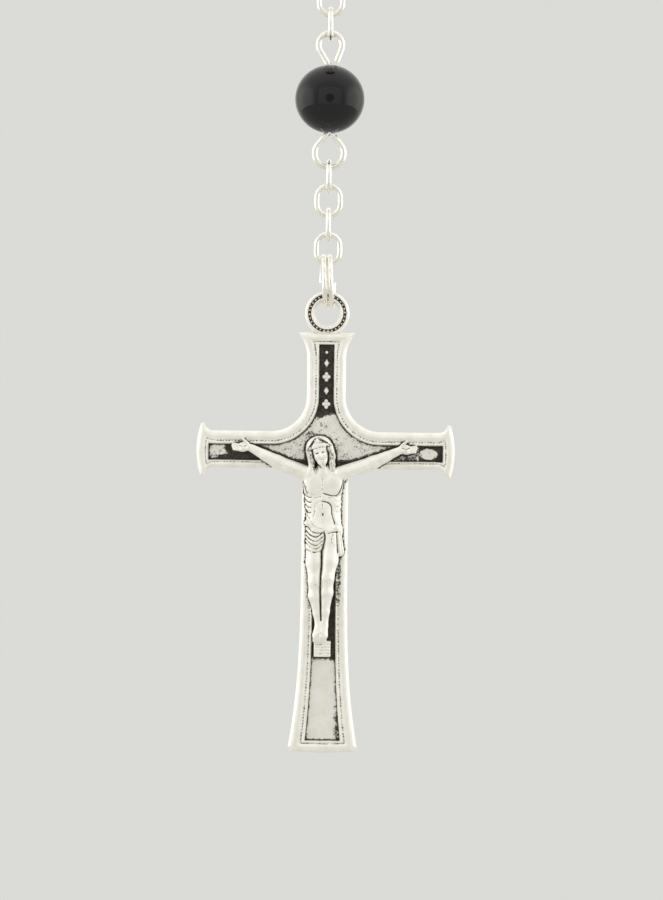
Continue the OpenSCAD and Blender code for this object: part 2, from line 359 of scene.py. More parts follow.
def blackGlass():
    material, finish, shader, place = newMaterial("blackGlass")
    drift = finish.noise(place, 0.15, 2.0)
    onShader(shader, Base_Color=finish.mixed(drift, glassLook["black"], glassLook["haze"]),
             Roughness=glassLook["roughness"] + 0.05 * drift,
             Normal=finish.node("ShaderNodeBump", Height=drift, Distance=0.03 * mm, Strength=0.3))
    shader.inputs["Specular IOR Level"].default_value = glassLook["specular"]
    return material


# each vertex's darkness: dark oxide, plus painted shade where a piece is given it
def setOxideAndShade(piece, values):
    layer = piece.data.attributes.get("oxideAndShade") or piece.data.attributes.new("oxideAndShade", "FLOAT", "POINT")
    layer.data.foreach_set("value", np.asarray(values, np.float32))


def pointsOf(piece):
    points = np.empty(len(piece.data.vertices) * 3)
    piece.data.vertices.foreach_get("co", points)
    return points.reshape(-1, 3)


def standIn(piece, node, material):
    # the finished piece takes the CAD node's place and moves with its body
    piece.name = "shown_" + node
    piece.data.name = piece.name
    piece.data.materials.clear()
    piece.data.materials.append(material)
    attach(piece, bodyOf[node])
    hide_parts(node)


silverWire = brightSilver()
oldSilver = antiqueSilver()
glass = blackGlass()
print("stage: finishes made")

# the camera stands level with the crucifix and is turned a little about its line of sight
view = {"centre": (0.67, -634.24), "distance": 514.3, "lens": 180, "roll": 0.69}
camera = bpy.data.objects.new("camera", bpy.data.cameras.new("camera"))
bpy.context.scene.collection.objects.link(camera)
camera.data.lens = view["lens"]
camera.data.sensor_fit = "VERTICAL"
camera.data.sensor_height = 36
camera.data.clip_start = 0.01
stand = Matrix.Translation(Vector((view["centre"][0], -view["distance"], view["centre"][1])) * mm)
turn = Matrix.Rotation(math.radians(-view["roll"]), 4, "Y") @ Matrix.Rotation(math.pi / 2, 4, "X")
camera.matrix_world = stand @ turn
bpy.context.scene.camera = camera

# a soft tent with a card at each side, and in front a square light with a dark lens in its middle
studio = {"background": (0.708, 0.708, 0.679, 1), "tent": 1.15, "cards": 1.0, "square": 1.15, "lens": 0.32,
          "tint": (1, 0.995, 0.965, 1), "floorDrop": 60, "floorRadius": 400,
          "floorColour": (0.62, 0.62, 0.6, 1)}


def buildStudio():
    scene = bpy.context.scene
    scene.view_settings.view_transform = "Standard"
    world = bpy.data.worlds.new("studio")
    scene.world = world
    world.use_nodes = True
    tree = world.node_tree
    tree.nodes.clear()
    finish = Finish(tree)
    way = finish.node("ShaderNodeTexCoord", out="Generated")
    split = tree.nodes.new("ShaderNodeSeparateXYZ")
    feed(split.inputs[0], way)
    x, y, z = [Signal(split.outputs[i]) for i in range(3)]
    front = 0.0 - y
    depth = front.most(0.05)
    across, up = x.size() / depth, z.size() / depth
    square = 1.0 - across.most(up).rise(0.72, 0.86)
    lens = 1.0 - (across * across + up * up).rise(0.04, 0.09)
    cards = x.size().rise(0.72, 0.95) * (1.0 - z.size().rise(0.3, 0.8))
    dusk = front.rise(0.25, 0.8)
    glow = studio["tent"] * (1.0 - 0.35 * dusk) + studio["cards"] * cards
    glow = glow * (1.0 - square) + studio["square"] * square
    glow = glow * (1.0 - lens) + studio["lens"] * lens
    glow = glow * (0.9 + 0.12 * z)
    tint = finish.node("ShaderNodeBackground", Color=studio["tint"], Strength=glow)
    seen = finish.node("ShaderNodeBackground", Color=studio["background"], Strength=1.0)
    light = finish.node("ShaderNodeLightPath", out="Is Camera Ray")
    shown = finish.node("ShaderNodeMixShader", _0=light, _1=tint, _2=seen)
    output = tree.nodes.new("ShaderNodeOutputWorld")
    tree.links.new(shown.socket, output.inputs["Surface"])
    lowest = cadBox[0][2] - studio["floorDrop"] * mm
    floor = added(bpy.ops.mesh.primitive_circle_add, vertices=96, radius=studio["floorRadius"] * mm,
                  fill_type="NGON", location=(0, 0, lowest))
    floor.name = "floor"
    material, _, shader, _ = newMaterial("paleFloor")
    onShader(shader, Base_Color=studio["floorColour"], Roughness=0.9)
    floor.data.materials.append(material)


buildStudio()
print("stage: studio built")


def shells(node):
    # the closed shells of a CAD node, each as the corners of its triangles in millimetres
    data = nodes[node].data
    points = pointsOf(nodes[node]) / mm
    corners = np.empty(len(data.loops), int)
    data.loops.foreach_get("vertex_index", corners)
    same = np.unique(np.round(points, 2), axis=0, return_inverse=True)[1].ravel()
    faces = same[corners].reshape(-1, 3)
    label = np.arange(same.max() + 1)
    while True:
        lower = label.copy()
        np.minimum.at(lower, faces.ravel(), np.repeat(label[faces].min(axis=1), 3))
        lower = lower[lower]
        if (lower == label).all():
            break
        label = lower
    owner = label[faces[:, 0]]
    triangles = points[corners].reshape(-1, 3, 3)
    return [triangles[owner == one] for one in np.unique(owner)]


def placeOf(shell, widerEndLow):
    # where a wire shape stands: its middle, with its long way up and its thin way to the back
    middles = shell.mean(axis=1)
    areas = np.linalg.norm(np.cross(shell[:, 1] - shell[:, 0], shell[:, 2] - shell[:, 0]), axis=1)
    heart = (middles * areas[:, None]).sum(axis=0) / areas.sum()
    spread = (middles - heart).T @ ((middles - heart) * areas[:, None])
    back, side, up = np.linalg.eigh(spread)[1].T
    if up[2] < 0:
        up = -up
    if back[1] + 0.1 * back[0] < 0:
        back = -back
    corners = shell.reshape(-1, 3) - heart
    along = corners @ up
    if widerEndLow:
        reach = 0.25 * np.ptp(along)
        if np.ptp((corners @ side)[along > reach]) > np.ptp((corners @ side)[along < -reach]):
            up, along = -up, -along
    side = np.cross(back, up)
    centre = heart.copy()
    for axis in (up, side, back):
        reach = corners @ axis
        centre += axis * (reach.min() + reach.max()) / 2
    place = Matrix.Identity(4)
    for i in range(3):
        place[i][0], place[i][1], place[i][2], place[i][3] = side[i], back[i], up[i], centre[i] * mm
    return place


pin = {"wire": 0.7, "length": 16.1, "upperEye": 3.4, "lowerEye": 4.0, "beadRise": 0.15, "lean": 0.17,
       "upperCut": (0.72, 4.42), "lowerCut": (0.52, -4.1)}


def eyePath(height, radius, start, end):
    # from a point to the eye's circle, round it against the clock, and off to another point
    start, end = np.array(start) - (0, height), np.array(end) - (0, height)
    first = math.atan2(start[1], start[0]) + math.acos(radius / np.hypot(*start))
    last = math.atan2(end[1], end[0]) - math.acos(radius / np.hypot(*end))
    while last < first:
        last += math.tau
    return arcPoints((0, height), radius, math.degrees(first), math.degrees(last))


def makePin():
    r = pin["wire"] / 2
    upper, lower = (pin["upperEye"] / 2 - r), (pin["lowerEye"] / 2 - r)
    top = pin["length"] / 2 - r - upper
    low = -pin["length"] / 2 + r + lower
    mouth = (pin["beadRise"] + bead["height"] / 2, pin["beadRise"] - bead["height"] / 2)
    lean = pin["lean"]
    stem = [(-lean, mouth[0]), (-0.05, mouth[0] - 0.5), (0, mouth[0] - 1), (0, mouth[1] + 1),
            (-0.05, mouth[1] + 0.5), (-lean, mouth[1])]
    path = np.vstack([[pin["upperCut"]], eyePath(top, upper, pin["upperCut"], stem[0]), stem,
                      eyePath(low, lower, stem[-1], pin["lowerCut"]), [pin["lowerCut"]]])
    path = np.stack([path[:, 0], 0 * path[:, 0], path[:, 1]], axis=1)
    return settle(drawn(wireRows(path, r, 12)), "pinMaster")


bead = {"width": 8.0, "height": 7.8, "mouth": 0.6, "rounding": 0.16}


def makeBead():
    # a ball is cut open at its poles, bored through, and the two edges of the bore are rounded
    piece = added(bpy.ops.mesh.primitive_uv_sphere_add, segments=48, ring_count=26, radius=bead["width"] / 2)
    startEditing(piece)
    selectWhere(piece, lambda co: math.hypot(co.x, co.y) < 0.1)
    bpy.ops.mesh.delete(type="VERT")
    bpy.ops.mesh.select_all(action="DESELECT")
    lip = max(vert.co.z for vert in bmesh.from_edit_mesh(piece.data).verts)
    selectWhere(piece, lambda co: abs(co.z) > lip - 0.01)
    mesh = bmesh.from_edit_mesh(piece.data)
    for vert in mesh.verts:
        if vert.select:
            vert.co.xy = vert.co.xy.normalized() * bead["mouth"]
    bpy.ops.mesh.bridge_edge_loops()
    selectWhere(piece, lambda co: abs(co.z) > lip - 0.01)
    bpy.ops.mesh.select_mode(type="EDGE")
    mesh = bmesh.from_edit_mesh(piece.data)
    for edge in mesh.edges:
        edge.select_set(all(abs(vert.co.z) > lip - 0.01 for vert in edge.verts))
    mesh.select_flush_mode()
    bpy.ops.mesh.bevel(offset=bead["rounding"], segments=3)
    bpy.ops.object.mode_set(mode="OBJECT")
    piece.scale.z = bead["height"] / 2 / lip
    return settle(piece, "beadMaster")


link = {"wire": 0.6, "length": 4.0, "width": 3.3}


def makeLink():
    # a ring is turned upright, and its upper and lower halves are drawn apart
    piece = added(bpy.ops.mesh.primitive_torus_add, major_segments=32, minor_segments=10,
                  minor_radius=link["wire"] / 2, major_radius=(link["width"] - link["wire"]) / 2,
                  rotation=(math.pi / 2, 0, 0))
    fixed(piece, location=False, scale=False)
    startEditing(piece)
    for way in (1, -1):
        selectWhere(piece, lambda co: co.z * way > 0.001)
        bpy.ops.transform.translate(value=(0, 0, way * (link["length"] - link["width"]) / 2))
    bpy.ops.object.mode_set(mode="OBJECT")
    return settle(piece, "linkMaster")


def placeStrand():
    masters = {"pin": makePin(), "bead": makeBead(), "link": makeLink()}
    pinPlaces = {}
    for node in [name for name in nodes if "pin" in name]:
        pinPlaces[node] = [placeOf(shell, True) for shell in shells(node)]
        parts = [copied(masters["pin"], place) for place in pinPlaces[node]]
        standIn(joined(parts), node, silverWire)
    allPins = [place for places in pinPlaces.values() for place in places]
    for node in [name for name in nodes if "bead" in name]:
        parts = []
        for shell in shells(node):
            corners = shell.reshape(-1, 3)
            centre = Vector((corners.min(axis=0) + corners.max(axis=0)) / 2 * mm)
            place = min(allPins, key=lambda one: (one.translation - centre).length).copy()
            place.translation = centre
            parts.append(copied(masters["bead"], place))
        standIn(joined(parts), node, glass)
    for node in [name for name in nodes if "link" in name]:
        parts = [copied(masters["link"], placeOf(shell, False)) for shell in shells(node)]
        standIn(joined(parts), node, silverWire)
    for master in masters.values():
        bpy.data.objects.remove(master)


placeStrand()
print("stage: strand placed")

splitRing = {"wire": 0.6, "width": 6.5, "box": 0.76, "pitch": 0.68, "turns": 2, "turn": 4}


def makeSplitRing():
    low, high = [np.array(corner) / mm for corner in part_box("split_ring")]
    centre = (low + high) / 2
    radius = (splitRing["width"] - splitRing["box"]) / 2
    angles = np.arange(-180 * splitRing["turns"], 180 * splitRing["turns"] + 1, splitRing["turn"])
    turns = np.radians(angles)
    path = np.stack([centre[0] + splitRing["pitch"] * angles / 360, centre[1] + radius * np.cos(turns),
                     centre[2] + radius * np.sin(turns)], axis=1)
    piece = settle(drawn(wireRows(path, splitRing["wire"] / 2, 12)), "ring")
    standIn(piece, "split_ring", silverWire)


makeSplitRing()
print("stage: split ring made")

# the figure is modelled in relief, measured in millimetres from the middle of the bail
bailRadius = 2.55
bailCentre = np.array([0, 0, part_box("crucifix")[1].z / mm - bailRadius])
figure = {"low": (-11.2, -3.45, -39.9), "high": (10.9, -0.5, -13.5), "step": 0.07, "soft": 0.22,
          "headMiddle": (-0.6, -2.25, -15.95), "headTilt": 13.6, "panelFloor": -0.65, "rimFront": -1.2}


class Clay:
    # a block of small cells, each with its distance from the surface, below zero inside
    def __init__(self, low, high, step):
        self.low, self.step = np.array(low), step
        counts = np.ceil((np.array(high) - self.low) / step).astype(int) + 1
        self.axes = [self.low[i] + step * np.arange(counts[i]) for i in range(3)]
        self.field = np.full(counts, 1.0, np.float32)
        self.ink = np.zeros((counts[0], counts[2]), np.float32)

    def near(self, low, high):
        cuts = [slice(*np.searchsorted(axis, (low[i], high[i]))) for i, axis in enumerate(self.axes)]
        grids = [self.axes[i][cuts[i]].astype(np.float32) for i in range(3)]
        return tuple(cuts), (grids[0][:, None, None], grids[1][None, :, None], grids[2][None, None, :])

    def melt(self, cuts, shape, soft):
        old = self.field[cuts]
        if old.size:
            share = np.clip(0.5 + 0.5 * (old - shape) / soft, 0, 1)
            self.field[cuts] = old * (1 - share) + shape * share - soft * share * (1 - share)

    def limb(self, a, b, soft=None, flat=1.0):
        # a tapering rounded limb between two balls (x, y, z, radius)
        soft = soft or figure["soft"]
        a, b = np.array(a, float), np.array(b, float)
        room = max(a[3], b[3]) + soft + 0.1
        cuts, (x, y, z) = self.near(np.minimum(a, b)[:3] - room, np.maximum(a, b)[:3] + room)
        d = b[:3] - a[:3]
        length = max(d @ d, 1e-6)
        t = np.clip(((x - a[0]) * d[0] + (y - a[1]) * d[1] + (z - a[2]) * d[2]) / length, 0, 1)
        shape = np.sqrt((x - a[0] - t * d[0]) ** 2 + ((y - a[1] - t * d[1]) * flat) ** 2
                        + (z - a[2] - t * d[2]) ** 2) - (a[3] + (b[3] - a[3]) * t)
        self.melt(cuts, shape, soft)

    def lump(self, centre, radii, turn=0.0, soft=None):
        # a rounded swelling, turned by degrees as seen from the front
        soft = soft or figure["soft"]
        centre, radii = np.array(centre, float), np.array(radii, float)
        room = radii.max() + soft + 0.1
        cuts, (x, y, z) = self.near(centre - room, centre + room)
        c, s = math.cos(math.radians(turn)), math.sin(math.radians(turn))
        u = (x - centre[0]) * c + (z - centre[2]) * s
        v = (z - centre[2]) * c - (x - centre[0]) * s
        w = y - centre[1]
        scaled = np.sqrt((u / radii[0]) ** 2 + (w / radii[1]) ** 2 + (v / radii[2]) ** 2)
        steep = np.sqrt((u / radii[0] ** 2) ** 2 + (w / radii[1] ** 2) ** 2 + (v / radii[2] ** 2) ** 2)
        self.melt(cuts, scaled * (scaled - 1) / np.maximum(steep, 1e-6), soft)

    def line(self, points, width=0.09, depth=0.12, dark=1.0):
        # a graver's line over the front along points (x, z); a depth below zero raises a ridge
        points = np.array(points, float)
        room = 3 * width
        cuts, (x, _, z) = self.near((points[:, 0].min() - room, -9, points[:, 1].min() - room),
                                    (points[:, 0].max() + room, 9, points[:, 1].max() + room))
        x, z = x[:, 0], z[0]
        best = np.full(np.broadcast(x, z).shape, 9.0)
        for a, b in zip(points[:-1], points[1:]):
            d = b - a
            t = np.clip(((x - a[0]) * d[0] + (z - a[1]) * d[1]) / max(d @ d, 1e-9), 0, 1)
            best = np.minimum(best, np.hypot(x - a[0] - t * d[0], z - a[1] - t * d[1]))
        cut = np.exp(-(best / width) ** 2).astype(np.float32)
        self.field[cuts] += depth * cut[:, None, :]
        flat = (cuts[0], cuts[2])
        self.ink[flat] = np.maximum(self.ink[flat], dark * np.exp(-(best / (0.85 * width)) ** 2))


def curve(points, count=14):
    # a smooth line through a few points
    points = np.array(points, float)
    padded = np.vstack([2 * points[0] - points[1], points, 2 * points[-1] - points[-2]])
    line = []
    for i in range(len(points) - 1):
        p0, p1, p2, p3 = padded[i:i + 4]
        for t in np.linspace(0, 1, count, endpoint=i == len(points) - 2):
            line.append(0.5 * (2 * p1 + (p2 - p0) * t + (2 * p0 - 5 * p1 + 4 * p2 - p3) * t ** 2
                               + (3 * p1 - p0 - 3 * p2 + p3) * t ** 3))
    return np.array(line)


def sculptBody(clay):
    # trunk: two sides from the armpits to the hips, filled between, with a broad flat chest
    sides = [[(-1.35, -1.5, -19.0, 1.25), (-1.15, -1.42, -21.8, 1.0), (-1.0, -1.45, -24.4, 1.08)],
             [(0.92, -1.5, -19.0, 1.25), (0.78, -1.42, -21.8, 1.0), (0.78, -1.45, -24.4, 1.1)]]
    for top, middle, hip in sides:
        clay.limb(top, middle, soft=0.4, flat=1.1)
        clay.limb(middle, hip, soft=0.4, flat=1.1)
    clay.limb((-0.2, -1.45, -19.2, 1.2), (-0.2, -1.55, -24.4, 1.2), soft=0.5, flat=1.05)
    clay.limb((-0.95, -1.6, -25.1, 1.15), (0.9, -1.6, -24.9, 1.15), soft=0.4)
    clay.limb((-1.9, -1.75, -18.35, 0.72), (1.6, -1.75, -18.35, 0.72), soft=0.4)
    clay.lump((-1.3, -2.28, -19.75), (1.15, 0.34, 0.98), 12, soft=0.35)
    clay.lump((0.88, -2.28, -19.7), (1.15, 0.36, 1.0), -12, soft=0.35)
    clay.limb((-0.2, -1.9, -17.7, 0.62), (-0.2, -1.9, -18.4, 0.7))
    # arms: shoulder, elbow, wrist, with the swell of the upper arm and the forearm
    for way, (shoulder, elbow, wrist) in {
            -1: ((-2.1, -1.75, -18.3, 0.84), (-5.4, -1.8, -17.08, 0.76), (-8.4, -1.75, -15.5, 0.45)),
            1: ((1.8, -1.75, -18.25, 0.84), (5.4, -1.8, -16.98, 0.72), (8.25, -1.75, -15.65, 0.45))}.items():
        clay.limb(shoulder, elbow, soft=0.35, flat=1.15)
        clay.limb(elbow, wrist, soft=0.35, flat=1.15)
        clay.limb((way * 2.9, -2.0, -17.95, 0.6), (way * 4.5, -1.95, -17.45, 0.55), soft=0.35)
        clay.limb((way * 5.7, -1.95, -16.85, 0.55), (way * 6.9, -1.95, -16.3, 0.48), soft=0.35)
        clay.line(curve([(way * 2.4, -18.5), (way * 3.6, -17.95), (way * 5.2, -17.4)]), 0.06, 0.06, 0.5)
        clay.line(curve([(way * 5.8, -17.0), (way * 6.8, -16.45), (way * 7.9, -15.85)]), 0.06, 0.05, 0.45)
        clay.line(curve([(way * 3.1, -18.35), (way * 4.2, -18.0), (way * 5.3, -17.75)]), 0.05, 0.05, 0.4)
    # legs: the knees lie forward, and the feet cross on the rest
    legs = [[(-1.08, -1.7, -25.9, 1.06), (-1.12, -2.1, -28.4, 0.94), (-1.0, -2.25, -30.6, 0.78),
             (-1.0, -2.0, -32.2, 0.74), (-0.68, -1.75, -34.2, 0.52), (-0.5, -1.7, -35.6, 0.46)],
            [(0.75, -1.8, -25.9, 1.02), (0.62, -2.3, -28.2, 0.92), (0.32, -2.5, -30.2, 0.78),
             (0.3, -2.25, -31.8, 0.72), (0.12, -1.95, -34.0, 0.52), (0.02, -1.85, -35.6, 0.48)]]
    for leg in legs:
        for a, b in zip(leg[:-1], leg[1:]):
            clay.limb(a, b, soft=0.3)
    clay.lump((-1.05, -2.8, -30.4), (0.42, 0.22, 0.5), soft=0.35)
    clay.lump((0.3, -3.05, -30.0), (0.42, 0.2, 0.5), soft=0.35)
    clay.limb((-0.5, -1.75, -35.6, 0.44), (-0.78, -2.0, -36.7, 0.5), soft=0.25, flat=1.1)
    clay.limb((0.02, -1.9, -35.6, 0.46), (0.0, -2.2, -36.7, 0.52), soft=0.25, flat=1.1)
    for i in range(6):
        clay.limb((-1.05 + 0.25 * i, -2.25, -36.95, 0.16), (-1.08 + 0.26 * i, -2.2, -37.35, 0.14), soft=0.06)
    clay.limb((-0.52, -2.55, -36.35, 0.17), (-0.52, -2.8, -36.35, 0.15), soft=0.04)
    # muscles and bones: breastbone, ribs, the arch of the ribs, belly and navel
    clay.line(curve([(-0.33, -18.9), (-0.32, -19.8), (-0.34, -20.35)]), 0.06, 0.07, 0.75)
    clay.line(curve([(-2.2, -19.5), (-1.95, -20.35), (-1.35, -20.75), (-0.4, -20.68)]), 0.07, 0.1, 0.55)
    clay.line(curve([(2.05, -19.0), (1.75, -20.1), (1.35, -20.72), (0.75, -20.78), (-0.25, -20.52)]), 0.075, 0.13)
    clay.line(curve([(-1.27, -23.3), (-1.1, -22.4), (-1.02, -21.75), (-0.34, -21.42)]), 0.06, 0.09, 0.62)
    clay.line(curve([(-0.34, -21.42), (0.35, -21.6), (0.7, -22.0), (0.82, -23.0), (1.15, -24.0)]), 0.08, 0.14)
    clay.line(curve([(-0.27, -21.65), (-0.25, -22.35)]), 0.06, 0.09, 0.9)
    clay.line([(-0.24, -22.9), (-0.22, -23.02)], 0.12, 0.22, 1.0)
    clay.line(curve([(-1.2, -21.1), (-0.8, -20.98), (-0.4, -20.88)]), 0.06, 0.09, 0.85)
    clay.line(curve([(0.15, -20.98), (0.6, -21.1), (1.1, -21.05)]), 0.05, 0.06, 0.6)
    for i, z in enumerate((-20.95, -21.5, -22.1, -22.7)):
        clay.line(curve([(-2.3 + 0.05 * i, z + 0.3), (-1.9, z - 0.02), (-1.55, z - 0.05)]), 0.065, 0.1, 0.95)
        clay.line(curve([(2.0 - 0.05 * i, z + 0.45), (1.6, z + 0.1), (1.2, z + 0.02)]), 0.06, 0.08, 0.6)
    clay.line(curve([(-2.5, -19.2), (-2.25, -20.0), (-2.0, -20.6)]), 0.06, 0.1, 1.0)
    clay.line(curve([(2.15, -19.2), (1.95, -20.2), (1.85, -21.0)]), 0.05, 0.07, 0.6)
    clay.line([(-1.0, -20.2), (-0.85, -20.22)], 0.07, -0.05, 0.0)
    clay.line([(0.55, -20.15), (0.7, -20.17)], 0.07, -0.05, 0.0)
    clay.line(curve([(-2.0, -22.5), (-1.95, -23.1), (-1.7, -23.4)]), 0.07, 0.1, 0.9)
    clay.line(curve([(-0.32, -27.3), (-0.3, -28.6), (-0.4, -30.2), (-0.42, -32.0), (-0.3, -35.0)]), 0.1, 0.22)
    clay.line(curve([(-1.15, -31.3), (-1.05, -32.6), (-0.7, -34.4)]), 0.1, -0.05, 0.0)
    clay.line(curve([(0.45, -30.9), (0.4, -32.2), (0.15, -34.2)]), 0.1, -0.05, 0.0)
    for x, z in ((-1.05, -30.95), (0.3, -30.55)):
        clay.line(curve([(x - 0.4, z + 0.2), (x, z - 0.05), (x + 0.4, z + 0.2)]), 0.06, 0.07, 0.6)


def sculptHands(clay):
    for way, (x, z) in {-1: (-9.35, -15.35), 1: (9.1, -15.45)}.items():
        clay.lump((x, -1.75, z), (0.82, 0.4, 0.56), -way * 12)
        clay.lump((x + way * 0.05, -2.1, z - 0.22), (0.5, 0.2, 0.24), -way * 12, soft=0.1)
        for i in range(4):
            spread = 0.24 - 0.2 * i
            tip = (x + way * (1.28 - 0.07 * abs(i - 1)), -2.0 - 0.05 * i, z + spread * 1.1 + 0.12)
            clay.limb((x + way * 0.55, -1.85, z + spread * 0.9, 0.15), (*tip, 0.12), soft=0.06)
        clay.limb((x - way * 0.45, -1.9, z + 0.4, 0.19), (x + way * 0.15, -2.1, z + 0.95, 0.14), soft=0.1)
        clay.line(curve([(x - way * 0.35, z + 0.12), (x + way * 0.1, z + 0.05), (x + way * 0.45, z + 0.16)]),
                  0.06, 0.09, 0.9)
        clay.limb((x + way * 0.08, -2.1, z - 0.02, 0.14), (x + way * 0.08, -2.36, z - 0.02, 0.14), soft=0.03)


def sculptCloth(clay):
    # the loincloth: a rolled belt, hanging folds on one side, a knot and a loose end on the other
    clay.limb((-0.85, -1.75, -25.0, 1.25), (-1.0, -1.9, -26.2, 1.12))
    clay.limb((0.75, -1.75, -24.9, 1.2), (0.75, -1.9, -26.0, 1.08))
    belt = curve([(-2.0, -23.9), (-1.2, -24.55), (-0.3, -24.75), (0.6, -24.75), (1.25, -24.35)])
    for a, b in zip(belt[:-1], belt[1:]):
        clay.limb((a[0], -2.35, a[1], 0.33), (b[0], -2.35, b[1], 0.33), soft=0.08)
    clay.limb((-1.2, -2.2, -24.0, 0.3), (-0.1, -2.55, -24.75, 0.3), soft=0.08)
    clay.limb((0.3, -2.5, -24.6, 0.32), (1.35, -2.45, -24.15, 0.32), soft=0.08)
    clay.lump((1.25, -2.6, -24.4), (0.42, 0.4, 0.42), soft=0.06)
    clay.limb((1.45, -2.35, -24.7, 0.42), (1.75, -2.0, -27.2, 0.5), soft=0.1)
    clay.limb((1.15, -2.4, -24.8, 0.3), (0.75, -2.5, -25.9, 0.2), soft=0.06)
    clay.limb((1.3, -2.4, -25.2, 0.3), (1.2, -2.35, -26.5, 0.25), soft=0.06)
    for i, z in enumerate((-25.25, -25.75, -26.2, -26.6)):
        clay.line(curve([(-2.1, z + 0.45), (-1.6, z - 0.05), (-0.9, z - 0.25), (-0.25, z + 0.25)]), 0.085, 0.16,
                  0.95 - 0.1 * i)
    clay.line(curve([(-2.0, -24.3), (-1.3, -24.95), (-0.4, -25.1)]), 0.08, 0.16, 0.85)
    clay.line(curve([(-1.5, -24.0), (-0.8, -24.5), (-0.1, -24.6)]), 0.06, 0.1, 0.6)
    clay.line(curve([(0.35, -25.1), (0.9, -24.95), (1.5, -24.9)]), 0.07, 0.14, 0.95)
    clay.line(curve([(-0.1, -24.9), (0.05, -25.6), (-0.15, -26.6), (-0.35, -27.2)]), 0.1, 0.2, 0.9)
    clay.line(curve([(1.35, -24.9), (1.4, -25.8), (1.5, -27.3)]), 0.07, 0.14, 0.9)
    clay.line(curve([(1.72, -24.9), (1.85, -26.0), (1.98, -27.3)]), 0.06, 0.1, 0.6)
    clay.line(curve([(0.95, -25.1), (0.8, -25.7), (0.85, -26.2)]), 0.06, 0.1, 0.8)
    clay.line(curve([(-2.0, -26.95), (-1.2, -27.25), (-0.45, -27.1)]), 0.09, 0.1, 0.7)


